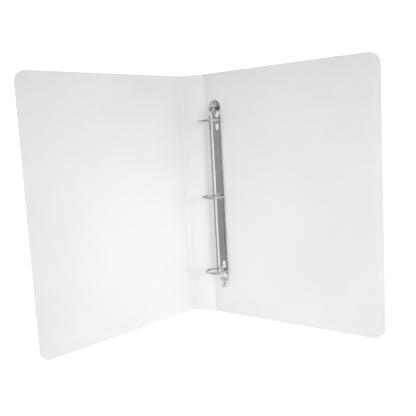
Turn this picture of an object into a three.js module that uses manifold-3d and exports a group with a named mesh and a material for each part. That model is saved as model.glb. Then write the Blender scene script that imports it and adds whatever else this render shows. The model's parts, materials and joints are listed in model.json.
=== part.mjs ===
// A three-ring binder in translucent polypropylene, standing open on its bottom edges.
// Millimetres, +Z up. The covers open towards -Y and the spine runs along X.
import * as THREE from "three";
import { mergeVertices } from "three/addons/utils/BufferGeometryUtils.js";
import Module from "manifold-3d";

const wasm = await Module();
wasm.setup();

// Cover sheet
const coverHeight = 349.25;
const coverWidth = 260.35; // from the hinge's axis to the outer edge
const spineWidth = 37; // from hinge axis to hinge axis
const sheet = 1; // thickness of the sheet
const cornerRadius = 15;
const flexWidth = 5; // thinned band that bends at each hinge
const flexThickness = 0.5;
const flexInset = 1; // how far the band ends short of the sheet's top and bottom
const frontTurn = THREE.MathUtils.degToRad(65); // how far each cover stands turned out of the spine's plane
const backTurn = THREE.MathUtils.degToRad(19);

// Ring mechanism, on the back cover's inner face
const mechanismOffset = 16.6; // from the back hinge's axis to the middle of the rings
const housingWidth = 17.8;
const housingHeight = 8; // crown above the cover
const housingSide = 2.8; // top of the straight side wall above the cover
const housingLength = 272.5;
const metal = 0.6; // thickness of the housing's steel
const footWidth = 20;
const footLength = 17.5; // flat tongue at each end
const noseRise = 8; // length over which the arch comes down onto the tongue
const noseEnd = 10; // from the tongue's end to the foot of the arch
const lipWidth = 1.3; // curled edge under the plates

// Rings
const ringSpacing = 107.95; // four and a quarter inches
const ringNames = ["lower", "middle", "upper"];
const wire = 3;
const ringInside = 26;
const ringFloor = 2.1; // the wire's circle, if it were whole, above the cover
const legAngle = THREE.MathUtils.degToRad(55); // where the wire leaves its circle
const tipGap = 0.4;

// Hinge plates that carry the ring halves
const plateThickness = 0.8;
const plateTilt = THREE.MathUtils.degToRad(5); // each plate dips to the middle while the rings are shut
const plateEndGap = 1;

// Rivets
const rivetInset = 5.3; // from the housing's end
const rivetShank = 3.5;
const rivetHead = 8;
const rivetHeadHeight = 1.8;
const rivetRim = 0.4; // straight edge of the rivet's domed head
const capHead = 10;
const capThickness = 1;
const capBarrel = 5.2;
const capFloor = 0.6; // thickness left under the cap's bore

const seat = 0.3; // gap between pieces that rest on each other
const roomForWire = 0.5; // around the wire in its slot
const roomForPlate = 0.35; // beside and between the plates
const roomUnderPlate = 0.5; // over the curled edge that carries the plate

const ringRadius = (ringInside + wire) / 2;
const ringCentreHeight = ringFloor + ringRadius;
const footTop = seat + metal;
const archEnd = housingLength / 2 - noseEnd;
const archFull = archEnd - noseRise;
const plateLength = 2 * (archFull - plateEndGap);
const pivotX = housingWidth / 2 - metal - roomForPlate;
const pivotY = footTop + roomUnderPlate + plateThickness / 2;
const plateWidth = pivotX - roomForPlate / 2;
const rivetZ = housingLength / 2 - rivetInset;
const capBottom = -sheet - seat - capThickness;
const capBore = capBottom + capFloor;

const plastic = { color: 0xe9ecec, roughness: 0.42, metalness: 0 };
const chrome = { color: 0xb9bcbf, roughness: 0.16, metalness: 1 };
const steel = { color: 0x9a9da0, roughness: 0.32, metalness: 1 };

// Turns a geometry into a solid that can be joined and cut.
function solid(geometry) {
  const bare = geometry.clone();
  bare.deleteAttribute("normal");
  bare.deleteAttribute("uv");
  const merged = mergeVertices(bare, 1e-4);
  return new wasm.Manifold(
    new wasm.Mesh({
      numProp: 3,
      vertProperties: merged.attributes.position.array,
      triVerts: new Uint32Array(merged.index.array),
    }),
  );
}

function part(name, finish, shape) {
  const mesh = shape.getMesh();
  const geometry = new THREE.BufferGeometry();
  geometry.setAttribute("position", new THREE.BufferAttribute(mesh.vertProperties, 3));
  geometry.setIndex(new THREE.BufferAttribute(mesh.triVerts, 1));
  geometry.computeVertexNormals();
  const made = new THREE.Mesh(geometry, new THREE.MeshStandardMaterial(finish));
  made.name = name;
  return made;
}

function extrude(shape, depth, curveSegments = 12) {
  return new THREE.ExtrudeGeometry(shape, { depth, curveSegments, bevelEnabled: false });
}

// An outline drawn in X and Z, made solid from y = 0 upwards.
function raise(shape, height, curveSegments) {
  return extrude(shape, height, curveSegments).rotateX(Math.PI / 2).translate(0, height, 0);
}

function block(x0, x1, y0, y1, length) {
  return new THREE.BoxGeometry(x1 - x0, y1 - y0, length).translate((x0 + x1) / 2, (y0 + y1) / 2, 0);
}

function rod(radius, y0, y1) {
  return new THREE.CylinderGeometry(radius, radius, y1 - y0, 24).translate(0, (y0 + y1) / 2, 0);
}

// One cover, flat in X and Z with its free corners rounded: side is 1 when it reaches towards +X.
function coverSheet(side) {
  const near = side * (flexWidth / 2);
  const out = side * coverWidth;
  const turn = out - side * cornerRadius;
  const top = coverHeight - cornerRadius;
  const outline = new THREE.Shape();
  outline.moveTo(near, 0);
  outline.lineTo(turn, 0);
  outline.absarc(turn, cornerRadius, cornerRadius, -Math.PI / 2, side > 0 ? 0 : -Math.PI, side < 0);
  outline.lineTo(out, top);
  outline.absarc(turn, top, cornerRadius, side > 0 ? 0 : Math.PI, Math.PI / 2, side < 0);
  outline.lineTo(near, coverHeight);
  return solid(raise(outline, sheet, 10).translate(0, -sheet / 2, 0));
}

function spineSheet() {
  const half = (spineWidth - flexWidth) / 2;
  const panel = new THREE.BoxGeometry(2 * half, sheet, coverHeight);
  return solid(panel.translate(-spineWidth / 2, 0, coverHeight / 2));
}

// The thinned band at a hinge, curving from the spine's plane into the cover's.
function flexBand(side, turn) {
  const reach = flexWidth / 2 - seat;
  const cover = new THREE.Vector2(Math.cos(turn), -Math.sin(turn));
  const spineNormal = new THREE.Vector2(0, -1);
  const coverNormal = new THREE.Vector2(-Math.sin(turn), -Math.cos(turn));
  const bisector = spineNormal.clone().add(coverNormal).divideScalar(1 + Math.cos(turn));
  const place = (point) => [side * point.x, point.y];
  const onSpine = (h) => place(new THREE.Vector2(-reach, 0).addScaledVector(spineNormal, h));
  const onCover = (h) => place(cover.clone().multiplyScalar(reach).addScaledVector(coverNormal, h));
  const corner = (h) => place(bisector.clone().multiplyScalar(h));
  const h = flexThickness / 2;
  const outline = new THREE.Shape();
  outline.moveTo(...onSpine(h));
  outline.quadraticCurveTo(...corner(h), ...onCover(h));
  outline.lineTo(...onCover(-h));
  outline.quadraticCurveTo(...corner(-h), ...onSpine(-h));
  const band = extrude(outline, coverHeight - 2 * flexInset, 8);
  return solid(band.translate(0, 0, flexInset));
}

// The mechanism's own frame: X across it, Y away from the cover's inner face, Z along it.

function archOutline(inset) {
  const half = housingWidth / 2 - inset;
  const side = housingSide - inset / 2;
  const rise = housingHeight - inset - side;
  const radius = (half * half + rise * rise) / (2 * rise);
  const start = Math.acos(half / radius);
  const bottom = seat - 2 * inset;
  const outline = new THREE.Shape();
  outline.moveTo(-half, bottom);
  outline.lineTo(half, bottom);
  outline.lineTo(half, side);
  outline.absarc(0, side + rise - radius, radius, start, Math.PI - start, false);
  outline.lineTo(-half, side);
  return outline;
}

// The arch with its two ends sloping down and rounded, as a full form without a hollow.
function archForm(inset) {
  const top = housingHeight + 1;
  const slopeAngle = Math.atan2(top - footTop, noseRise);
  const end = archEnd - inset / Math.sin(slopeAngle);
  const full = end - noseRise;
  const half = housingWidth / 2 - inset;
  const arch = solid(extrude(archOutline(inset), 2 * end, 16).translate(0, 0, -end));

  const slopes = new THREE.Shape();
  slopes.moveTo(-end, -1);
  slopes.lineTo(end, -1);
  slopes.lineTo(end, footTop);
  slopes.lineTo(full, top);
  slopes.lineTo(-full, top);
  slopes.lineTo(-end, footTop);
  const sloped = solid(extrude(slopes, housingWidth).rotateY(-Math.PI / 2).translate(housingWidth / 2, 0, 0));

  const plan = new THREE.Shape();
  plan.moveTo(-half, -full);
  plan.absellipse(0, -full, half, noseRise, Math.PI, 2 * Math.PI, false);
  plan.absellipse(0, full, half, noseRise, 0, Math.PI, false);
  const rounded = solid(raise(plan, top + 1, 8).translate(0, -1, 0));
  return arch.intersect(sloped).intersect(rounded);
}

// The flat tongue that the rivet holds, at the end towards +Z.
function foot() {
  const round = housingLength / 2 - footWidth / 2;
  const outline = new THREE.Shape();
  outline.moveTo(-housingWidth / 2, housingLength / 2 - footLength);
  outline.lineTo(housingWidth / 2, housingLength / 2 - footLength);
  outline.lineTo(footWidth / 2, round);
  outline.absarc(0, round, footWidth / 2, 0, Math.PI, false);
  return raise(outline, metal, 12).translate(0, seat, 0);
}

// Where the wire leaves its circle on the +X side, heading down and in along its leg.
const legStart = new THREE.Vector2(Math.cos(legAngle), -Math.sin(legAngle))
  .multiplyScalar(ringRadius)
  .add(new THREE.Vector2(0, ringCentreHeight));
const legLength = legStart.y / Math.cos(legAngle); // down to the cover, before it is cut off at the plate

// The room that one wire leg needs through the housing.
function legSlot() {
  const width = wire + 2 * roomForWire;
  return new THREE.BoxGeometry(width, legLength, width)
    .translate(0, -legLength / 2, 0)
    .rotateZ(-legAngle)
    .translate(legStart.x, legStart.y, 0);
}

// A piece made on the +X side, or the same piece turned round to the -X side.
function onSide(side, geometry) {
  return side > 0 ? geometry : geometry.rotateY(Math.PI);
}

function ringHousing() {
  let housing = archForm(0).subtract(archForm(metal));
  for (const side of [-1, 1]) {
    const lip = block(housingWidth / 2 - lipWidth, housingWidth / 2 - metal / 2, seat, footTop, plateLength);
    housing = housing.add(solid(onSide(side, lip)));
    housing = housing.add(solid(onSide(side, foot())));
    const hole = rod(rivetShank / 2 + seat, 0, housingHeight).translate(0, 0, side * rivetZ);
    housing = housing.subtract(solid(hole));
    for (const row of [-1, 0, 1]) {
      const slot = onSide(side, legSlot()).translate(0, 0, row * ringSpacing);
      housing = housing.subtract(solid(slot));
    }
  }
  return housing;
}

// Moves what is drawn about a plate's hinged edge to the plate on the +X side.
function placeOnPlate(geometry) {
  return geometry.rotateZ(plateTilt).translate(pivotX, pivotY, 0);
}

function hingePlate() {
  return placeOnPlate(block(-plateWidth, 0, -plateThickness / 2, plateThickness / 2, plateLength));
}

// A half ring's wire: from the tip at the top round the +X side, then straight in along its leg.
class HalfRing extends THREE.Curve {
  getPoint(t, target = new THREE.Vector3()) {
    const top = Math.PI / 2 - tipGap / 2 / ringRadius;
    const arc = ringRadius * (top + legAngle);
    const along = t * (arc + legLength);
    if (along < arc) {
      const angle = top - along / ringRadius;
      return target.set(ringRadius * Math.cos(angle), ringCentreHeight + ringRadius * Math.sin(angle), 0);
    }
    const past = along - arc;
    return target.set(legStart.x - past * Math.sin(legAngle), legStart.y - past * Math.cos(legAngle), 0);
  }
}

// The half ring, its leg cut off square to the plate it stands on.
function halfRing() {
  const section = new THREE.Shape().absarc(0, 0, wire / 2, 0, 2 * Math.PI, false);
  const bent = new THREE.ExtrudeGeometry(section, {
    steps: 20,
    curveSegments: 6,
    bevelEnabled: false,
    extrudePath: new HalfRing(),
  });
  const depth = 2 * ringRadius;
  const plateTop = plateThickness / 2 + seat;
  const below = placeOnPlate(block(-2 * plateWidth, seat, plateTop - depth, plateTop, depth));
  return solid(bent).subtract(solid(below));
}

// The domed rivet, seen from inside the binder, with its shank.
function rivet() {
  const base = footTop + seat;
  const radius = rivetHead / 2;
  const profile = [
    new THREE.Vector2(0, capBore + seat),
    new THREE.Vector2(rivetShank / 2, capBore + seat),
    new THREE.Vector2(rivetShank / 2, base),
    new THREE.Vector2(radius, base),
  ];
  const steps = 5;
  for (let i = 0; i <= steps; i++) {
    const angle = (i / steps) * (Math.PI / 2);
    const rise = (rivetHeadHeight - rivetRim) * Math.sin(angle);
    profile.push(new THREE.Vector2(i < steps ? radius * Math.cos(angle) : 0, base + rivetRim + rise));
  }
  return solid(new THREE.LatheGeometry(profile, 24));
}

// The wide cap on the cover's outer face, with the hollow barrel that grips the rivet's shank.
function rivetCap() {
  const edge = capThickness * 0.4;
  const profile = [
    new THREE.Vector2(0, capBottom),
    new THREE.Vector2(capHead / 2 - edge, capBottom),
    new THREE.Vector2(capHead / 2, capBottom + edge),
    new THREE.Vector2(capHead / 2, capBottom + capThickness),
    new THREE.Vector2(capBarrel / 2, capBottom + capThickness),
    new THREE.Vector2(capBarrel / 2, 0),
    new THREE.Vector2(rivetShank / 2 + seat, 0),
    new THREE.Vector2(rivetShank / 2 + seat, capBore),
    new THREE.Vector2(0, capBore),
  ];
  return solid(new THREE.LatheGeometry(profile, 24));
}

function backCoverSheet() {
  let cover = coverSheet(1);
  for (const side of [-1, 1]) {
    const hole = rod(capBarrel / 2 + seat, -sheet, sheet);
    hole.translate(mechanismOffset, 0, coverHeight / 2 + side * rivetZ);
    cover = cover.subtract(solid(hole));
  }
  return cover;
}

// The mechanism stands on the back cover's inner face, which faces -Y.
const mechanism = new THREE.Group();
mechanism.position.set(mechanismOffset, -sheet / 2, coverHeight / 2);
mechanism.rotation.z = Math.PI;
mechanism.add(part("ring_housing", chrome, ringHousing()));
const ringShape = halfRing();
for (const [side, place] of [[1, "inner"], [-1, "outer"]]) {
  mechanism.add(part(place + "_hinge_plate", steel, solid(onSide(side, hingePlate()))));
  ringNames.forEach((name, row) => {
    const ring = part(name + "_ring_" + place + "_half", chrome, ringShape);
    ring.position.z = (row - 1) * ringSpacing;
    ring.rotation.y = side > 0 ? 0 : Math.PI;
    mechanism.add(ring);
  });
}
for (const [side, name] of [[-1, "lower"], [1, "upper"]]) {
  const pair = [part(name + "_rivet", chrome, rivet()), part(name + "_rivet_cap", chrome, rivetCap())];
  for (const piece of pair) {
    piece.position.z = side * rivetZ;
    mechanism.add(piece);
  }
}

const backCover = new THREE.Group();
backCover.rotation.z = -backTurn;
backCover.add(part("back_cover", plastic, backCoverSheet()), mechanism);

const frontCover = new THREE.Group();
frontCover.position.x = -spineWidth;
frontCover.rotation.z = frontTurn;
frontCover.add(part("front_cover", plastic, coverSheet(-1)));

const frontBand = part("front_hinge_band", plastic, flexBand(-1, frontTurn));
frontBand.position.x = -spineWidth;

const binder = new THREE.Group();
binder.add(backCover, frontCover, frontBand);
binder.add(part("back_hinge_band", plastic, flexBand(1, backTurn)));
binder.add(part("spine_panel", plastic, spineSheet()));

// The origin is under the middle of the whole binder.
const box = new THREE.Box3().setFromObject(binder, true);
const middle = box.getCenter(new THREE.Vector3());
binder.position.set(-middle.x, -middle.y, -box.min.z);

export default binder;
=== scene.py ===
import json
import math

import bmesh
import bpy
from bpy.props import FloatProperty, FloatVectorProperty, PointerProperty
from mathutils import Matrix, Vector


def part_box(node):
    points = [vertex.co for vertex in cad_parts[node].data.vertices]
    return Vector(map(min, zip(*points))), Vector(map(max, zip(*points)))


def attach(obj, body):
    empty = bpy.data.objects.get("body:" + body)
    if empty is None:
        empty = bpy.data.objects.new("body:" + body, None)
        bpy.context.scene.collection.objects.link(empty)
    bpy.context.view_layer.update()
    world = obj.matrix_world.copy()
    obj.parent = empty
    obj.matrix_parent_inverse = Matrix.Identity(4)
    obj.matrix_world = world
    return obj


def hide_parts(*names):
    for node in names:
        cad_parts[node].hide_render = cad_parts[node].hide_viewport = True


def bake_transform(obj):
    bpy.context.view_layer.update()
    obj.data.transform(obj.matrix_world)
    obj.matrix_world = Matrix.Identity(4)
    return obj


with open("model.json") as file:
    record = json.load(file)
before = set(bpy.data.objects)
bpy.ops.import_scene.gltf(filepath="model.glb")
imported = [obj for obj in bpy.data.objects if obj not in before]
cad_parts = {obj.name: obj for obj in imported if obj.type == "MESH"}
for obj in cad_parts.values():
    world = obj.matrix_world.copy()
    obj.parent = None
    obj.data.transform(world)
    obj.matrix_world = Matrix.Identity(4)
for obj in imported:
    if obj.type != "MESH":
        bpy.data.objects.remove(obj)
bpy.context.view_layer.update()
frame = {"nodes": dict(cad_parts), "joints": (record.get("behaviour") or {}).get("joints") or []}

bl_info = {
    "name": "Ring Binder",
    "version": (1, 0, 0),
    "blender": (4, 5, 0),
    "location": "View3D > Sidebar > Ring Binder",
    "description": "Builds a frosted ring binder around its packed frame",
    "category": "Object",
}

MM = 0.001
UP = Vector((0, 0, 1))
HINGES = {joint["name"]: Vector(joint["pos_m"]) for joint in frame["joints"]}
COVER_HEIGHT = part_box("front_cover")[1][2]
RING_NAMES = ("lower", "middle", "upper")
SIDES = {"inner": 1, "outer": -1}  # the inner half is on the spine's side
TINY = 0.05 * MM


def length(name, description, millimetres):
    return FloatProperty(
        name=name, description=description, default=millimetres * MM, unit="LENGTH", precision=5
    )


def shade(name, description, value):
    return FloatVectorProperty(
        name=name, description=description, default=value, subtype="COLOR", size=3, min=0, max=1
    )


def share(name, description, value):
    return FloatProperty(
        name=name, description=description, default=value, min=0, max=1, subtype="FACTOR"
    )


def turn(name, description, degrees):
    return FloatProperty(
        name=name, description=description, default=math.radians(degrees), subtype="ANGLE"
    )


class BinderCoverSettings(bpy.types.PropertyGroup):
    """Sizes and finish of the folded sheet."""

    width: length("Cover Width", "From the hinge's axis to the outer edge", 260.35)
    thickness: length("Sheet", "Thickness of the covers and the spine", 1)
    corner: length("Corner Radius", "Radius of the two outer corners of a cover", 15)
    edge: length("Edge Rounding", "Rounding along the cut edges", 0.2)
    rivet_hole: length("Rivet Hole", "Holes in the back cover for the caps' barrels", 5.8)
    band: length("Hinge Band", "Width of the thinned band at a hinge", 5)
    band_thickness: length("Band Thickness", "Sheet left at the bottom of the pressed crease", 0.5)
    bow: length("Outward Bow", "How far a cover's free edge bows outwards", 1.2)
    front_turn: turn("Front Turn", "Turn of the front cover out of the spine's plane", 65)
    back_turn: turn("Back Turn", "Turn of the back cover out of the spine's plane", 19)
    colour: shade("Sheet Colour", "Colour of the frosted sheet", (0.85, 0.85, 0.85))
    front_crease: shade("Front Crease", "Colour of the front hinge's crease", (0.85, 0.85, 0.85))
    # The back crease is a hair darker than the sheet: a faint painted shade.
    back_crease_painted_shade: shade("Back Crease", "Colour of the back hinge's crease", (0.845, 0.845, 0.845))
    clearness: share("Clearness", "How much light passes through the sheet", 0.3)
    roughness: share("Frosting", "Roughness of the frosted surface", 0.42)


class BinderMechanismSettings(bpy.types.PropertyGroup):
    """Sizes and finish of the riveted ring mechanism."""

    offset: length("Offset", "From the back hinge's axis to the middle of the housing", 16.6)
    width: length("Housing Width", "Width over the rolled edges", 17.8)
    height: length("Housing Height", "Height of the ridge above the cover", 8)
    flank: turn("Flank Slope", "Slope of the two flanks", 30)
    crown: length("Ridge Radius", "Rounding of the ridge", 4)
    shoulder: length("Shoulder Radius", "Rounding where a flank meets its wall", 1.2)
    metal: length("Housing Metal", "Thickness of the pressed steel", 0.6)
    arch_full: length("Full Arch", "Half length over which the arch keeps its full height", 118.25)
    arch_end: length("Arch End", "Half length at which the arch has come down flat", 126.25)
    foot: length("Foot Width", "Width of the flat riveted ends", 20)
    ring_pitch: length("Ring Pitch", "Distance from ring to ring", 107.95)
    ring_radius: length("Ring Radius", "Radius of the wire's centre line", 14.5)
    ring_height: length("Ring Centre", "Height of the ring's centre above the cover", 16.6)
    wire: length("Ring Wire", "Thickness of the ring wire", 3)
    leg_angle: turn("Leg Angle", "How far below the ring's centre the straight leg starts", 55)
    tip_gap: length("Tip Gap", "Gap between the closed tips", 0.4)
    rivet_place: length("Rivet Place", "From the middle of the housing to a rivet", 130.95)
    shank_hole: length("Shank Hole", "Holes in the feet for the rivets' shanks", 4.2)
    lug_place: length("Lug Place", "From an end ring to the middle of a pressed lug", 9)
    steel: shade("Plated Steel", "Colour of the bright plating", (0.91, 0.91, 0.905))
    rivet_steel: shade("Rivet Steel", "Colour of the rivets and caps", (0.86, 0.86, 0.85))
    plate_steel: shade("Hinge Plate Steel", "Colour of the brushed hinge plates", (0.55, 0.55, 0.54))
    roughness: share("Plating Roughness", "Roughness of the bright plating", 0.14)


class BinderStageSettings(bpy.types.PropertyGroup):
    """Camera, floor and light."""

    lens: FloatProperty(
        name="Lens", description="Focal length in millimetres", default=50.9, min=1, unit="CAMERA"
    )
    camera: FloatVectorProperty(
        name="Camera Place",
        description="Where the camera stands",
        default=(0.2295, -0.6935, 0.2639),
        unit="LENGTH",
    )
    heading: turn("Heading", "Turn of the camera to the left of straight ahead", 19.29)
    tilt: turn("Tilt", "How far the camera looks down", 7.15)
    roll: turn("Roll", "How far the camera is rolled", -3.21)
    floor: length("Floor Side", "Side of the square floor", 8000)
    fill: FloatProperty(
        name="Fill Light", description="Strength of the surrounding light", default=0.95, min=0
    )
    floor_glow: FloatProperty(
        name="Floor Light", description="Light given off by the white table", default=0.48, min=0
    )
    backdrop: FloatProperty(
        name="Backdrop", description="Brightness of the white behind the binder", default=1.3, min=0
    )


# ---- Frames of the sheets and of the mechanism -------------------------------------------------


def settings():
    scene = bpy.context.scene
    return scene.binder_cover, scene.binder_mechanism, scene.binder_stage


def level(angle, backwards=False):
    """Unit vector in the ground plane, turned clockwise from +X, or from -X the other way."""
    side = -1 if backwards else 1
    return Vector((side * math.cos(angle), -math.sin(angle), 0))


def ground(point):
    """The point let down to the ground."""
    return Vector((point.x, point.y, 0))


def frame_of(origin, across, upright, facing):
    matrix = Matrix((across, upright, facing)).transposed().to_4x4()
    matrix.translation = origin
    return matrix


def sheet_frame(hinge, direction):
    """x away from the hinge, y up the sheet, z through it."""
    return frame_of(ground(HINGES[hinge]), direction, UP, direction.cross(UP))


def mechanism_frame():
    """x towards the spine, y away from the cover's inner face, z along the housing."""
    cover, mechanism, _ = settings()
    along = level(cover.back_turn)
    inward = along.cross(UP)
    origin = ground(HINGES["back_hinge"]) + along * mechanism.offset + inward * cover.thickness / 2
    origin.z = COVER_HEIGHT / 2
    return frame_of(origin, -along, inward, UP)


# ---- Modelling helpers -------------------------------------------------------------------------


def deselect():
    bpy.ops.object.select_all(action="DESELECT")


def named(name):
    piece = bpy.context.object
    piece.name = name
    piece.data.name = name
    return piece


def hold(piece):
    """Makes the piece the only selected and active object."""
    deselect()
    piece.select_set(True)
    bpy.context.view_layer.objects.active = piece


def settle(piece, matrix=None):
    """Puts the piece where matrix says and moves that place into its mesh."""
    hold(piece)
    if matrix is not None:
        piece.matrix_world = matrix @ piece.matrix_world
    bpy.ops.object.transform_apply(location=True, rotation=True, scale=True)
    return piece


def pick(piece, kind, test):
    """Selects the vertices, edges or faces whose middle passes the test. The piece is in edit mode."""
    bpy.context.tool_settings.mesh_select_mode = (kind == "VERT", kind == "EDGE", kind == "FACE")
    bpy.ops.mesh.select_all(action="DESELECT")
    mesh = bmesh.from_edit_mesh(piece.data)
    found = 0
    if kind == "VERT":
        for vertex in mesh.verts:
            vertex.select_set(test(vertex.co))
            found += vertex.select
    elif kind == "EDGE":
        for edge in mesh.edges:
            edge.select_set(test((edge.verts[0].co + edge.verts[1].co) / 2))
            found += edge.select
    else:
        for face in mesh.faces:
            face.select_set(test(face.calc_center_median(), face.normal))
            found += face.select
    mesh.select_flush_mode()
    bmesh.update_edit_mesh(piece.data)
    if not found:
        raise RuntimeError(piece.name + ": nothing there to select")


def edit(piece):
    """Opens the piece in edit mode with all of it selected."""
    hold(piece)
    bpy.ops.object.mode_set(mode="EDIT")
    bpy.ops.mesh.select_all(action="SELECT")


def leave():
    bpy.ops.object.mode_set(mode="OBJECT")


def closed(piece):
    """Merges doubles and turns every face outwards."""
    edit(piece)
    bpy.ops.mesh.remove_doubles(threshold=0.001 * MM)
    bpy.ops.mesh.normals_make_consistent(inside=False)
    leave()


def press(piece, rule):
    """Moves each point of the piece to where the rule puts it, as a die would."""
    for vertex in piece.data.vertices:
        vertex.co = rule(vertex.co)
    piece.data.update()


def apply(piece, kind, **values):
    """Puts a modifier on the piece and applies it."""
    hold(piece)
    modifier = piece.modifiers.new(kind.title(), kind)
    for key, value in values.items():
        setattr(modifier, key, value)
    bpy.ops.object.modifier_apply(modifier=modifier.name)


def smooth(piece, degrees=35):
    hold(piece)
    bpy.ops.object.shade_smooth_by_angle(angle=math.radians(degrees))


def ease(low, high, value):
    """0 up to low, 1 from high on, smooth in between."""
    part = min(max((value - low) / (high - low), 0), 1)
    return part * part * (3 - 2 * part)


def copied(piece, name, offset):
    hold(piece)
    bpy.ops.object.duplicate(linked=False)
    twin = named(name)
    twin.location = offset
    return settle(twin)


def cut_away(piece, cutters):
    """Cuts the joined cutters out of the piece and deletes them."""
    deselect()
    for cutter in cutters:
        cutter.select_set(True)
    bpy.context.view_layer.objects.active = cutters[0]
    if len(cutters) > 1:
        bpy.ops.object.join()
    tool = bpy.context.object
    closed(tool)
    apply(piece, "BOOLEAN", object=tool, operation="DIFFERENCE", solver="EXACT")
    hold(tool)
    bpy.ops.object.delete()


def turned(name, stations):
    """A turned piece: a disc drawn up along +Z through (height, radius) stations."""
    deselect()
    height, radius = stations[0]
    bpy.ops.mesh.primitive_circle_add(
        vertices=48, radius=radius, fill_type="NGON", location=(0, 0, height)
    )
    piece = settle(named(name))
    edit(piece)
    for next_height, next_radius in stations[1:]:
        bpy.ops.mesh.extrude_region_move(TRANSFORM_OT_translate={"value": (0, 0, next_height - height)})
        factor = next_radius / radius
        bpy.ops.transform.resize(value=(factor, factor, 1), center_override=(0, 0, next_height))
        height, radius = next_height, next_radius
    leave()
    closed(piece)
    return piece


# ---- Materials ---------------------------------------------------------------------------------


class Wire:
    """A shader value. An expression on it adds Math nodes."""

    def __init__(self, finish, socket):
        self.finish = finish
        self.socket = socket

    def math(self, operation, *values):
        return self.finish.node("ShaderNodeMath", {"operation": operation}, dict(enumerate(values)))

    def __add__(self, other):
        return self.math("ADD", self, other)

    def __sub__(self, other):
        return self.math("SUBTRACT", self, other)

    def __rsub__(self, other):
        return self.math("SUBTRACT", other, self)

    def __mul__(self, other):
        return self.math("MULTIPLY", self, other)

    def __abs__(self):
        return self.math("ABSOLUTE", self)

    __radd__ = __add__
    __rmul__ = __mul__

    def between(self, low, high):
        """0 below low, 1 above high, smooth in between."""
        return self.finish.node(
            "ShaderNodeMapRange",
            {"interpolation_type": "SMOOTHSTEP"},
            {"Value": self, "From Min": low, "From Max": high},
        )


class Finish:
    """One procedural material."""

    def __init__(self, name, tree=None):
        if tree is None:
            self.material = bpy.data.materials.new(name)
            self.material.use_nodes = True
            tree = self.material.node_tree
        self.tree = tree
        self.tree.nodes.clear()

    def node(self, kind, options=None, sockets=None, out=0):
        """Adds a node and returns its output, or the node itself if it has none."""
        made = self.tree.nodes.new(kind)
        for key, value in (options or {}).items():
            if key == "stops":
                ramp = made.color_ramp.elements
                while len(ramp) < len(value):
                    ramp.new(0.5)
                for stop, (place, colour) in zip(ramp, value):
                    stop.position = place
                    stop.color = (*colour, 1)
            else:
                setattr(made, key, value)
        for key, value in (sockets or {}).items():
            if isinstance(value, Wire):
                self.tree.links.new(value.socket, made.inputs[key])
            else:
                made.inputs[key].default_value = value
        return Wire(self, made.outputs[out]) if made.outputs else made

    def place(self, matrix=None, stretch=(1, 1, 1)):
        """Object coordinates, turned into the frame of the matrix and stretched."""
        where = self.node("ShaderNodeTexCoord", out="Object")
        if matrix is not None:
            back = matrix.inverted()
            where = self.node(
                "ShaderNodeMapping",
                {"vector_type": "POINT"},
                {"Vector": where, "Location": back.translation, "Rotation": back.to_euler()},
            )
        if stretch != (1, 1, 1):
            where = self.node(
                "ShaderNodeMapping", {"vector_type": "POINT"}, {"Vector": where, "Scale": stretch}
            )
        return where

    def noise(self, where, scale, detail=2.0, roughness=0.5):
        values = {"Vector": where, "Scale": scale, "Detail": detail, "Roughness": roughness}
        return self.node("ShaderNodeTexNoise", {}, values)

    def blend(self, factor, first, second):
        return self.node(
            "ShaderNodeMix",
            {"data_type": "RGBA"},
            {0: factor, 6: first if isinstance(first, Wire) else (*first, 1), 7: (*second, 1)},
            out=2,
        )

    def bump(self, height, strength, distance):
        values = {"Height": height, "Strength": strength, "Distance": distance}
        return self.node("ShaderNodeBump", {}, values, "Normal")

    def surface(self, **sockets):
        names = {key.replace("_", " "): value for key, value in sockets.items()}
        shader = self.node("ShaderNodeBsdfPrincipled", {}, names)
        self.node("ShaderNodeOutputMaterial", {}, {"Surface": shader})
        return self.material


def scaled(colour, factor):
    return tuple(min(channel * factor, 1) for channel in colour)


def frosted_sheet(name, colour, clearness):
    """Frosted polypropylene: a fine matt grain, faint clouds and long faint rubs."""
    cover, _, _ = settings()
    finish = Finish(name)
    where = finish.place()
    clouds = finish.noise(where, 11, 3, 0.55).between(0.3, 0.7)
    grain = finish.noise(where, 1400, 2)
    rubs = finish.noise(finish.place(stretch=(130, 130, 9)), 1, 4, 0.65).between(0.5, 0.75)
    base = finish.blend(clouds, scaled(colour, 0.985), scaled(colour, 1.012))
    height = grain * 0.8 + finish.noise(where, 260, 2) * 0.5
    return finish.surface(
        Base_Color=base,
        Roughness=cover.roughness + clouds * 0.05 - rubs * 0.07,
        IOR=1.49,
        Transmission_Weight=clearness,
        Normal=finish.bump(height, 0.12, 0.0003),
    )


def painted_dark_reflections(finish, where, base, colour):
    """Paints dark reflections onto the housing: a dark band along each of its two rolled edges, wide on
    the spine's side and fading towards the ends, and a dark patch on the slope down to its upper foot
    only.
    """
    inner_edge, outer_edge = (3.4 * MM, 4.4 * MM), (8.0 * MM, 8.5 * MM)
    edge_end = (112 * MM, 118 * MM)
    slope_start, slope_end = (119.5 * MM, 121.5 * MM), (126.2 * MM, 127.5 * MM)
    beside_ridge = (0.8 * MM, 2 * MM)
    across = finish.node("ShaderNodeSeparateXYZ", {}, {0: where}, "X")
    upwards = finish.node("ShaderNodeSeparateXYZ", {}, {0: where}, "Z")
    edges = across.between(*inner_edge) + (across * -1).between(*outer_edge)
    edges *= 1 - abs(upwards).between(*edge_end)
    # Painted dark reflection: the rolled edges darkened to a fifth of the plating's colour.
    base = finish.blend(edges * 0.8, base, scaled(colour, 0.2))
    # Painted dark reflection: the slope down to the upper foot, beside the ridge, darkened to three
    # tenths of the plating's colour.
    slope = upwards.between(*slope_start) * (1 - upwards.between(*slope_end))
    slope *= abs(across).between(*beside_ridge)
    return finish.blend(slope * 0.8, base, scaled(colour, 0.3))


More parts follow.
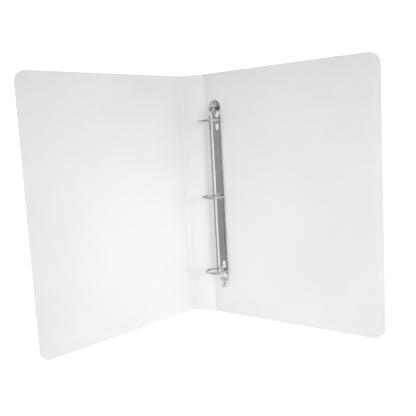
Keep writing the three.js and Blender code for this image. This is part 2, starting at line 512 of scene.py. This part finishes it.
def bright_plating(name, colour, roughness, matrix, dark_reflections_painted=False):
    """Nickel plating: polishing lines along the piece, faint haze and fine pits, and on the housing
    painted dark reflections along its rolled edges and upper slope.
    """
    finish = Finish(name)
    where = finish.place(matrix)
    haze = finish.noise(where, 70, 3, 0.6).between(0.35, 0.75)
    lines = finish.noise(finish.place(matrix, (2600, 2600, 40)), 1, 2)
    pits = finish.noise(where, 1900, 1).between(0.68, 0.8)
    base = finish.blend(haze, colour, scaled(colour, 0.93))
    base = finish.blend(pits * 0.5, base, scaled(colour, 0.6))
    # Only the housing gets the painted dark reflections.
    if dark_reflections_painted:
        base = painted_dark_reflections(finish, where, base, colour)
    return finish.surface(
        Base_Color=base,
        Metallic=1.0,
        Roughness=roughness + haze * 0.06 + lines * 0.05,
        Normal=finish.bump(lines + haze * 0.5, 0.06, 0.0002),
    )


def brushed_plate(name, colour, matrix):
    """Rolled steel with brushing along its length."""
    finish = Finish(name)
    lines = finish.noise(finish.place(matrix, (1800, 1800, 12)), 1, 4, 0.7)
    stains = finish.noise(finish.place(matrix), 45, 3).between(0.4, 0.8)
    return finish.surface(
        Base_Color=finish.blend(stains, colour, scaled(colour, 0.8)),
        Metallic=1.0,
        Roughness=0.3 + lines * 0.2,
        Normal=finish.bump(lines, 0.15, 0.0001),
    )


def dress(piece, material):
    piece.data.materials.clear()
    piece.data.materials.append(material)


def finish_piece(piece, material, body, node):
    """Dresses the piece, lets it ride on its body and stand in for its plain node."""
    dress(piece, material)
    if body:
        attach(piece, body)
    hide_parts(node)


# ---- The folded sheet --------------------------------------------------------------------------


def flat_sheet(name, start, end, rounded):
    """A flat blank from start to end along x and from the ground up along y."""
    cover, _, _ = settings()
    deselect()
    bpy.ops.mesh.primitive_plane_add(size=1, location=((start + end) / 2, COVER_HEIGHT / 2, 0))
    blank = named(name)
    blank.scale = (end - start, COVER_HEIGHT, 1)
    settle(blank)
    edit(blank)
    if rounded:
        pick(blank, "VERT", lambda point: point.x > end - TINY)
        bpy.ops.mesh.bevel(
            offset=cover.corner, offset_type="OFFSET", segments=12, affect="VERTICES"
        )
    columns, rows = (12 if rounded else 2), 8
    for column in range(1, columns):
        bpy.ops.mesh.select_all(action="SELECT")
        across = start + (end - start) * column / columns
        bpy.ops.mesh.bisect(plane_co=(across, 0, 0), plane_no=(1, 0, 0))
    for row in range(1, rows):
        bpy.ops.mesh.select_all(action="SELECT")
        bpy.ops.mesh.bisect(plane_co=(0, COVER_HEIGHT * row / rows, 0), plane_no=(0, 1, 0))
    leave()
    return blank


def thicken(piece):
    """Gives a blank its thickness and breaks its cut edges."""
    cover, _, _ = settings()
    apply(piece, "SOLIDIFY", thickness=cover.thickness, offset=0.0, use_even_offset=True)
    apply(
        piece,
        "BEVEL",
        width=cover.edge,
        segments=3,
        limit_method="ANGLE",
        angle_limit=math.radians(50),
        use_clamp_overlap=False,
    )
    smooth(piece)


def bowed(start, end, amount):
    """Rule that bows a blank more and more from start to end."""

    def rule(point):
        part = (point.x - start) / (end - start)
        return Vector((point.x, point.y, point.z + amount * part * part))

    return rule


class BINDER_OT_covers(bpy.types.Operator):
    """Makes the front cover and the back cover, which is holed for the two rivets"""

    bl_idname = "binder.covers"
    bl_label = "Covers"

    def execute(self, context):
        cover, mechanism, _ = settings()
        start = cover.band / 2
        plastic = frosted_sheet("Frosted Polypropylene", cover.colour, cover.clearness)
        front = flat_sheet("front_cover_sheet", start, cover.width, True)
        press(front, bowed(start, cover.width, cover.bow))
        thicken(front)
        settle(front, sheet_frame("front_hinge", level(cover.front_turn, True)))
        finish_piece(front, plastic, "front_cover", "front_cover")

        back = flat_sheet("back_cover_sheet", start, cover.width, True)
        press(back, bowed(start, cover.width, -cover.bow))
        thicken(back)
        drills = []
        for side in (-1, 1):
            deselect()
            bpy.ops.mesh.primitive_cylinder_add(
                vertices=48,
                radius=cover.rivet_hole / 2,
                depth=6 * MM,
                location=(mechanism.offset, COVER_HEIGHT / 2 + side * mechanism.rivet_place, 0),
            )
            drills.append(settle(named("drill")))
        cut_away(back, drills)
        smooth(back)
        settle(back, sheet_frame("back_hinge", level(cover.back_turn)))
        finish_piece(back, plastic, "back_cover", "back_cover")
        return {"FINISHED"}


class BINDER_OT_spine(bpy.types.Operator):
    """Makes the spine between the two hinges"""

    bl_idname = "binder.spine"
    bl_label = "Spine"

    def execute(self, context):
        cover, _, _ = settings()
        width = HINGES["back_hinge"].x - HINGES["front_hinge"].x
        spine = flat_sheet("spine_sheet", cover.band / 2, width - cover.band / 2, False)
        thicken(spine)
        settle(spine, sheet_frame("back_hinge", level(0, True)))
        plastic = frosted_sheet("Frosted Spine Polypropylene", cover.colour, cover.clearness)
        finish_piece(spine, plastic, "spine", "spine_panel")
        return {"FINISHED"}


def hinge_band(name, axis, first, second):
    """A band spun from one panel's edge to the next and pressed thin along its middle."""
    cover, _, _ = settings()
    half = cover.band / 2
    turn_angle = math.pi - first.angle(second)
    radius = half / math.tan(turn_angle / 2)
    centre = ground(axis) + (first + second).normalized() * radius / math.cos(turn_angle / 2)
    middle = UP * COVER_HEIGHT / 2
    deselect()
    bpy.ops.mesh.primitive_plane_add(size=1)
    band = named(name)
    band.scale = (cover.thickness, COVER_HEIGHT, 1)
    settle(band)
    settle(band, frame_of(ground(axis) + first * half + middle, first.cross(UP), UP, -first))
    edit(band)
    sweep = 1 if first.cross(second).z > 0 else -1
    bpy.ops.mesh.spin(steps=20, angle=sweep * turn_angle, center=centre, axis=(0, 0, 1))
    leave()
    closed(band)
    begin = ground(axis) + first * half - centre

    def rule(point):
        arm = Vector((point.x - centre.x, point.y - centre.y, 0))
        part = begin.angle(arm, 0) / turn_angle
        thin = ease(0.05, 0.3, part) * ease(0.05, 0.3, 1 - part)
        keep = 1 - thin * (1 - cover.band_thickness / cover.thickness)
        arm = arm.normalized() * (radius + (arm.length - radius) * keep)
        return Vector((centre.x + arm.x, centre.y + arm.y, point.z))

    press(band, rule)
    smooth(band, 50)
    return band


class BINDER_OT_hinge_bands(bpy.types.Operator):
    """Makes the two thinned bands that bend at the hinges"""

    bl_idname = "binder.hinge_bands"
    bl_label = "Hinge Bands"

    def execute(self, context):
        cover, _, _ = settings()
        spine = level(0, True)
        back, front = level(cover.back_turn), level(cover.front_turn, True)
        rows = (
            ("back_hinge", "back_cover", back, "spine", spine, cover.back_crease_painted_shade),
            ("front_hinge", "spine", -spine, "front_cover", front, cover.front_crease),
        )
        for hinge, body_a, first, body_b, second, colour in rows:
            axis = HINGES[hinge]
            band = hinge_band(hinge + "_crease", axis, first, second)
            title = hinge.replace("_", " ").title()
            plastic = frosted_sheet(title + " Crease", colour, cover.clearness)
            finish_piece(band, plastic, None, hinge + "_band")
            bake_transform(band)
        return {"FINISHED"}


# ---- The mechanism -----------------------------------------------------------------------------


def arc(centre, radius, first, last, steps):
    """Points of an arc, by the slope of its outward direction from straight up."""
    made = []
    for step in range(steps + 1):
        slope = first + (last - first) * step / steps
        made.append((centre[0] + radius * math.sin(slope), centre[1] + radius * math.cos(slope)))
    return made


def half_section():
    """The housing's outer line from its ridge to the end of the rolled lip, as (across, height)."""
    _, mechanism, _ = settings()
    wall = mechanism.width / 2
    slope, crown, shoulder = mechanism.flank, mechanism.crown, mechanism.shoulder
    roll, low, lip = 0.8 * MM, 0.3 * MM, 7.6 * MM
    line = arc((0, mechanism.height - crown), crown, 0, slope, 6)
    top = Vector(line[-1])
    meet = wall - shoulder + shoulder * math.sin(slope)
    low_end = Vector((meet, top.y - (meet - top.x) * math.tan(slope)))
    line += [tuple(top.lerp(low_end, step / 14)) for step in range(1, 15)]
    centre = low_end.y - shoulder * math.cos(slope)
    line += arc((wall - shoulder, centre), shoulder, slope, math.pi / 2, 5)[1:]
    line += [(wall, (centre + low + roll) / 2)]
    line += arc((wall - roll, low + roll), roll, math.pi / 2, math.pi, 4)
    line += [(lip, low)]
    return line


def lug_height(across, height, along):
    """Height of a point, raised where a level lug is pressed out beside an end ring."""
    _, mechanism, _ = settings()
    inner, outer, half_length, rim = 4.4 * MM, 7.0 * MM, 4.4 * MM, 0.5 * MM
    if across > 0:
        return height
    beside = abs(abs(along) - mechanism.ring_pitch)
    inside = ease(inner - rim, inner, -across) * (1 - ease(outer, outer + rim, -across))
    inside *= 1 - ease(half_length - rim, half_length + rim, abs(beside - mechanism.lug_place))
    level_top = mechanism.height - (inner - 0.3 * mechanism.crown) * math.tan(mechanism.flank)
    return height + max(level_top - height, 0) * inside


def housing_rule(columns):
    """Where the die puts each point of the flat blank, whose x and y run from -1 to 1."""
    _, mechanism, _ = settings()
    half = half_section()
    line = [(-x, y) for x, y in reversed(half[1:])] + half
    runs = [0.0]
    for a, b in zip(line, line[1:]):
        runs.append(runs[-1] + math.dist(a, b))
    shares = [2 * run / runs[-1] - 1 for run in runs]
    foot, full, end = mechanism.foot / 2, mechanism.arch_full, mechanism.arch_end
    foot_top = 0.9 * MM
    straight = 0.84  # share of the half blank before its round end

    def rule(point):
        index = round((point.x + 1) / 2 * columns)
        part = abs(point.y)
        if part <= straight:
            along, wide = end * part / straight, foot
        else:
            swing = (part - straight) / (1 - straight) * math.pi / 2
            along, wide = end + foot * math.sin(swing), foot * math.cos(swing)
        across, height = line[index]
        along_signed = math.copysign(along, point.y)
        height = lug_height(across, height, along_signed)
        flat = ease(full, end, along)
        across += (shares[index] * wide - across) * flat
        height += (foot_top - height) * flat
        return Vector((across, height, along_signed))

    return rule


class BINDER_OT_housing(bpy.types.Operator):
    """Makes the pressed housing: ridge, flanks, rolled edges, lugs, slots and riveted feet"""

    bl_idname = "binder.housing"
    bl_label = "Ring Housing"

    def execute(self, context):
        _, mechanism, _ = settings()
        columns, rows = 2 * (len(half_section()) - 1), 300
        slot_size, slot_middle = (4 * MM, 12 * MM, 4 * MM), 1.8 * MM
        deselect()
        bpy.ops.mesh.primitive_grid_add(x_subdivisions=columns, y_subdivisions=rows, size=2)
        housing = named("arched_housing")
        press(housing, housing_rule(columns))
        edit(housing)
        bpy.ops.mesh.remove_doubles(threshold=0.001 * MM)
        bpy.ops.mesh.flip_normals()
        leave()
        apply(housing, "SOLIDIFY", thickness=mechanism.metal, offset=-1.0, use_even_offset=False)
        cutters = []
        for ring in (-1, 0, 1):
            for side in (-1, 1):
                deselect()
                bpy.ops.mesh.primitive_cube_add(size=1)
                punch = named("punch")
                punch.scale = slot_size
                settle(punch)
                start, heading = leg_line(side)
                turn_matrix = Matrix.Rotation(math.atan2(heading.x, -heading.y), 4, "Z")
                middle = start + heading * slot_middle + UP * ring * mechanism.ring_pitch
                cutters.append(settle(punch, Matrix.Translation(middle) @ turn_matrix))
        for side in (-1, 1):
            deselect()
            bpy.ops.mesh.primitive_cylinder_add(
                vertices=32,
                radius=mechanism.shank_hole / 2,
                depth=6 * MM,
                rotation=(math.pi / 2, 0, 0),
                location=(0, mechanism.metal, side * mechanism.rivet_place),
            )
            cutters.append(settle(named("punch")))
        cut_away(housing, cutters)
        smooth(housing, 40)
        matrix = mechanism_frame()
        settle(housing, matrix)
        # The housing's plating carries painted dark reflections on its rolled edges and upper slope.
        steel = bright_plating(
            "Nickel Plated Housing", mechanism.steel, mechanism.roughness, matrix, dark_reflections_painted=True
        )
        finish_piece(housing, steel, "back_cover", "ring_housing")
        return {"FINISHED"}


def leg_line(side):
    """Start and heading of a half ring's straight leg, in the mechanism's frame."""
    _, mechanism, _ = settings()
    angle, radius = mechanism.leg_angle, mechanism.ring_radius
    start = Vector((side * radius * math.cos(angle), mechanism.ring_height - radius * math.sin(angle), 0))
    return start, Vector((-side * math.sin(angle), -math.cos(angle), 0))


def half_ring(name, side):
    """One half ring at the middle ring's place: a disc spun along the ring, then its straight leg."""
    _, mechanism, _ = settings()
    radius, thick = mechanism.ring_radius, mechanism.wire
    leg_end = 2.25 * MM  # height at which the leg meets its plate
    rim, step, tip_edge = 0.3 * MM, 0.35 * MM, 0.25 * MM
    reach = 0.28 * MM if side < 0 else -0.45 * MM  # a peg on the outer tip, its hole in the inner
    centre = Vector((0, mechanism.ring_height, 0))
    tip = Vector((side * mechanism.tip_gap / 2, mechanism.ring_height + radius, 0))
    deselect()
    bpy.ops.mesh.primitive_circle_add(
        vertices=24, radius=thick / 2, fill_type="NGON", location=tip, rotation=(0, math.pi / 2, 0)
    )
    wire = settle(named(name))
    edit(wire)
    sweep = math.pi / 2 + mechanism.leg_angle
    bpy.ops.mesh.spin(steps=44, angle=side * sweep, center=centre, axis=(0, 0, 1))
    start, heading = leg_line(side)
    pick(wire, "FACE", lambda point, normal: (point - start).length < 0.3 * MM)
    drop = (start.y - leg_end) / -heading.y
    bpy.ops.mesh.extrude_region_move(TRANSFORM_OT_translate={"value": heading * drop})
    leave()
    closed(wire)
    edit(wire)

    def on_tip(point, normal):
        return abs(normal.x) > 0.99 and (point - tip).length < 0.1 * MM

    def on_tip_rim(point):
        off_centre = math.hypot(point.y - tip.y, point.z)
        return abs(point.x - tip.x) < 0.01 * MM and abs(off_centre - thick / 2) < 0.03 * MM

    pick(wire, "FACE", on_tip)
    bpy.ops.mesh.inset(thickness=rim)
    pick(wire, "FACE", on_tip)
    bpy.ops.mesh.inset(thickness=step)
    bpy.ops.mesh.extrude_region_move(TRANSFORM_OT_translate={"value": (-side * reach, 0, 0)})
    pick(wire, "EDGE", on_tip_rim)
    bpy.ops.mesh.bevel(offset=tip_edge, segments=3, affect="EDGES")
    leave()
    smooth(wire, 40)
    return wire


class BINDER_OT_half_rings(bpy.types.Operator):
    """Makes the six half rings, each side modelled once and copied to the three rings"""

    bl_idname = "binder.half_rings"
    bl_label = "Half Rings"

    def execute(self, context):
        _, mechanism, _ = settings()
        matrix = mechanism_frame()
        # Painted shade: the rings take the housing's plating darkened to 0.74.
        colour = scaled(mechanism.steel, 0.74)
        steel = bright_plating("Nickel Plated Wire", colour, mechanism.roughness * 0.8, matrix)
        for half_name, side in SIDES.items():
            pattern = half_ring("half_ring_pattern", side)
            for place, ring in enumerate(RING_NAMES, start=-1):
                wire = copied(pattern, f"{ring}_{half_name}_wire", (0, 0, place * mechanism.ring_pitch))
                settle(wire, matrix)
                node = f"{ring}_ring_{half_name}_half"
                finish_piece(wire, steel, half_name + "_plate", node)
            hold(pattern)
            bpy.ops.object.delete()
        return {"FINISHED"}


# Outlines of the turned pieces, as (height above the cover's inner face, radius) in millimetres
RIVET_LINE = (
    (-1.4, 1.75), (1.2, 1.75), (1.2, 3.8), (1.3, 4.0), (1.6, 4.0), (1.95, 3.8), (2.35, 3.35),
    (2.68, 2.7), (2.9, 1.95), (3.0, 1.3), (2.97, 1.1), (2.8, 0.95), (2.5, 0.8), (2.42, 0.4),
)
CAP_LINE = (
    (-2.3, 2.0), (-2.3, 4.2), (-2.2, 4.6), (-2.0, 4.87), (-1.75, 5.0), (-1.4, 5.0), (-1.3, 4.9),
    (-1.3, 2.6), (-0.1, 2.6), (0.0, 2.5), (0.0, 2.15), (-0.1, 2.05), (-1.7, 2.05), (-1.7, 0.5),
)


class BINDER_OT_rivets(bpy.types.Operator):
    """Makes the two domed rivets and the caps that close them on the back cover's outer face"""

    bl_idname = "binder.rivets"
    bl_label = "Rivets And Caps"

    def execute(self, context):
        _, mechanism, _ = settings()
        matrix = mechanism_frame()
        roughness = mechanism.roughness + 0.02
        steel = bright_plating("Rivet Steel", mechanism.rivet_steel, roughness, matrix)
        upright = Matrix.Rotation(-math.pi / 2, 4, "X")
        kinds = (("domed_rivet", RIVET_LINE, "rivet"), ("back_cap", CAP_LINE, "rivet_cap"))
        for kind, line, node in kinds:
            pattern = turned(kind, [(height * MM, radius * MM) for height, radius in line])
            settle(pattern, upright)
            smooth(pattern, 40)
            for name, side in (("lower", -1), ("upper", 1)):
                piece = copied(pattern, f"{name}_{kind}", (0, 0, side * mechanism.rivet_place))
                settle(piece, matrix)
                finish_piece(piece, steel, "back_cover", f"{name}_{node}")
            hold(pattern)
            bpy.ops.object.delete()
        return {"FINISHED"}


class BINDER_OT_plates(bpy.types.Operator):
    """Gives the two hinge plates under the housing their brushed steel"""

    bl_idname = "binder.plates"
    bl_label = "Hinge Plates"

    def execute(self, context):
        _, mechanism, _ = settings()
        steel = brushed_plate("Brushed Plate Steel", mechanism.plate_steel, mechanism_frame())
        for node in ("inner_hinge_plate", "outer_hinge_plate"):
            dress(frame["nodes"][node], steel)
        return {"FINISHED"}


# ---- The stage ---------------------------------------------------------------------------------


# Name, width and height, place, the point it faces (None for straight up) and grey
CARDS = (
    ("front_card", (1.3, 1.1), (-0.15, -1.1, 0.35), (-0.04, 0.1, 0.17), 0.3),
    ("left_card", (0.9, 0.8), (-0.9, -0.45, 0.75), (-0.04, 0.1, 0.3), 0.12),
    ("table_card", (1.6, 1.2), (-0.1, -0.72, 0.002), None, 0.27),
    ("corner_card", (0.2, 0.14), (-0.05, 0.065, 0.003), None, 0.5),
    ("roof_card", (0.14, 0.14), (-0.11, 0.02, 0.42), (-0.03, 0.1, 0.298), 0.1),
    ("high_card", (0.09, 0.05), (-0.1, 0.06, 0.325), (-0.04, 0.097, 0.302), 0.16),
)
# Name, place, the point it shines at, watts and the width of its cone in degrees
LAMPS = (
    ("front_cover_lamp", (0.75, -0.45, 0.28), (-0.085, 0.1, 0.12), 21, 33),
    ("back_cover_lamp", (-0.36, -0.8, 0.25), (-0.02, 0.1, 0.1), 6, 38),
    ("low_lamp", (0.75, -0.45, 0.2), (-0.085, 0.07, 0.05), 4.5, 20),
)


def aimed(place, target):
    """Turn that points -Z from place to target."""
    return (Vector(target) - Vector(place)).to_track_quat("-Z", "Y").to_euler()


def gloss_card(name, size, place, target, grey):
    """A card that only gloss sees, so that bright metal has something to mirror."""
    rotation = aimed(place, target) if target else (0, 0, 0)
    deselect()
    bpy.ops.mesh.primitive_plane_add(size=1, location=place, rotation=rotation)
    card = named(name)
    card.scale = (*size, 1)
    finish = Finish(name)
    glow = finish.node("ShaderNodeEmission", {}, {"Color": (grey, grey, grey, 1)})
    finish.node("ShaderNodeOutputMaterial", {}, {"Surface": glow})
    dress(card, finish.material)
    for ray in ("camera", "diffuse", "transmission", "shadow", "volume_scatter"):
        setattr(card, "visible_" + ray, False)


def soft_lamp(name, place, target, watts, cone):
    """A soft spot that neither the camera nor gloss sees."""
    deselect()
    bpy.ops.object.light_add(type="SPOT", location=place, rotation=aimed(place, target))
    lamp = bpy.context.object
    lamp.name = name
    lamp.data.energy = watts
    lamp.data.spot_size = math.radians(cone)
    lamp.data.spot_blend = 1.0
    lamp.data.shadow_soft_size = 0.2
    lamp.visible_camera = False
    lamp.visible_glossy = False


class BINDER_OT_stage(bpy.types.Operator):
    """Sets the camera, the white table, the surrounding light and the reflection cards"""

    bl_idname = "binder.stage"
    bl_label = "Stage"

    def execute(self, context):
        _, _, stage = settings()
        scene = context.scene
        deselect()
        bpy.ops.object.camera_add()
        camera = bpy.context.object
        camera.name = "binder_camera"
        camera.matrix_world = (
            Matrix.Translation(stage.camera)
            @ Matrix.Rotation(stage.heading, 4, "Z")
            @ Matrix.Rotation(math.pi / 2 - stage.tilt, 4, "X")
            @ Matrix.Rotation(stage.roll, 4, "Z")
        )
        camera.data.lens = stage.lens
        camera.data.sensor_width = 36
        camera.data.clip_start = 0.01
        scene.camera = camera
        scene.view_settings.view_transform = "Standard"

        deselect()
        bpy.ops.mesh.primitive_plane_add(size=stage.floor, location=(0, 0, -0.0002))
        floor = named("white_table")
        table = Finish("White Table")
        wear = table.noise(table.place(), 3, 2).between(0.3, 0.7)
        dress(
            floor,
            table.surface(
                Base_Color=table.blend(wear, (0.9, 0.9, 0.9), (0.88, 0.88, 0.88)),
                Roughness=0.7 + wear * 0.05,
                Emission_Color=(1, 1, 1, 1),
                Emission_Strength=stage.floor_glow,
            ),
        )

        world = bpy.data.worlds.new("Soft Studio")
        scene.world = world
        world.use_nodes = True
        air = Finish("Soft Studio", world.node_tree)
        direction = air.node("ShaderNodeTexCoord", out="Generated")
        split = air.node("ShaderNodeSeparateXYZ", {}, {0: direction}, "Z")
        rise = split * 0.5 + 0.5  # 0 straight down, 1 straight up
        stops = ((0.0, (1.0, 1.0, 1.0)), (0.5, (0.98, 0.98, 0.98)), (1.0, (0.72, 0.72, 0.72)))
        sky = air.node("ShaderNodeValToRGB", {"stops": stops}, {0: rise})
        around = air.node("ShaderNodeBackground", {}, {"Color": sky, "Strength": stage.fill})
        white = {"Color": (1, 1, 1, 1), "Strength": stage.backdrop}
        seen = air.node("ShaderNodeBackground", {}, white)
        camera_ray = air.node("ShaderNodeLightPath", out="Is Camera Ray")
        mixed = air.node("ShaderNodeMixShader", {}, {0: camera_ray, 1: around, 2: seen})
        air.node("ShaderNodeOutputWorld", {}, {"Surface": mixed})

        for card in CARDS:
            gloss_card(*card)
        for lamp in LAMPS:
            soft_lamp(*lamp)
        return {"FINISHED"}


class BINDER_PT_panel(bpy.types.Panel):
    """Lists the binder's pieces and their sizes"""

    bl_idname = "BINDER_PT_panel"
    bl_label = "Ring Binder"
    bl_space_type = "VIEW_3D"
    bl_region_type = "UI"
    bl_category = "Ring Binder"

    def draw(self, context):
        for group in settings():
            box = self.layout.box()
            for name in group.__annotations__:
                box.prop(group, name)
        for operator in OPERATORS:
            self.layout.operator(operator.bl_idname)


GROUPS = (BinderCoverSettings, BinderMechanismSettings, BinderStageSettings)
OPERATORS = (
    BINDER_OT_stage,
    BINDER_OT_covers,
    BINDER_OT_spine,
    BINDER_OT_hinge_bands,
    BINDER_OT_housing,
    BINDER_OT_half_rings,
    BINDER_OT_rivets,
    BINDER_OT_plates,
)


def register():
    for kind in (*GROUPS, *OPERATORS, BINDER_PT_panel):
        bpy.utils.register_class(kind)
    bpy.types.Scene.binder_cover = PointerProperty(type=BinderCoverSettings)
    bpy.types.Scene.binder_mechanism = PointerProperty(type=BinderMechanismSettings)
    bpy.types.Scene.binder_stage = PointerProperty(type=BinderStageSettings)


def unregister():
    del bpy.types.Scene.binder_cover, bpy.types.Scene.binder_mechanism, bpy.types.Scene.binder_stage
    for kind in reversed((*GROUPS, *OPERATORS, BINDER_PT_panel)):
        bpy.utils.unregister_class(kind)


def main():
    register()
    for operator in OPERATORS:
        group, call = operator.bl_idname.split(".")
        getattr(getattr(bpy.ops, group), call)()
    deselect()
    bpy.context.view_layer.update()


if __name__ == "__main__":
    main()
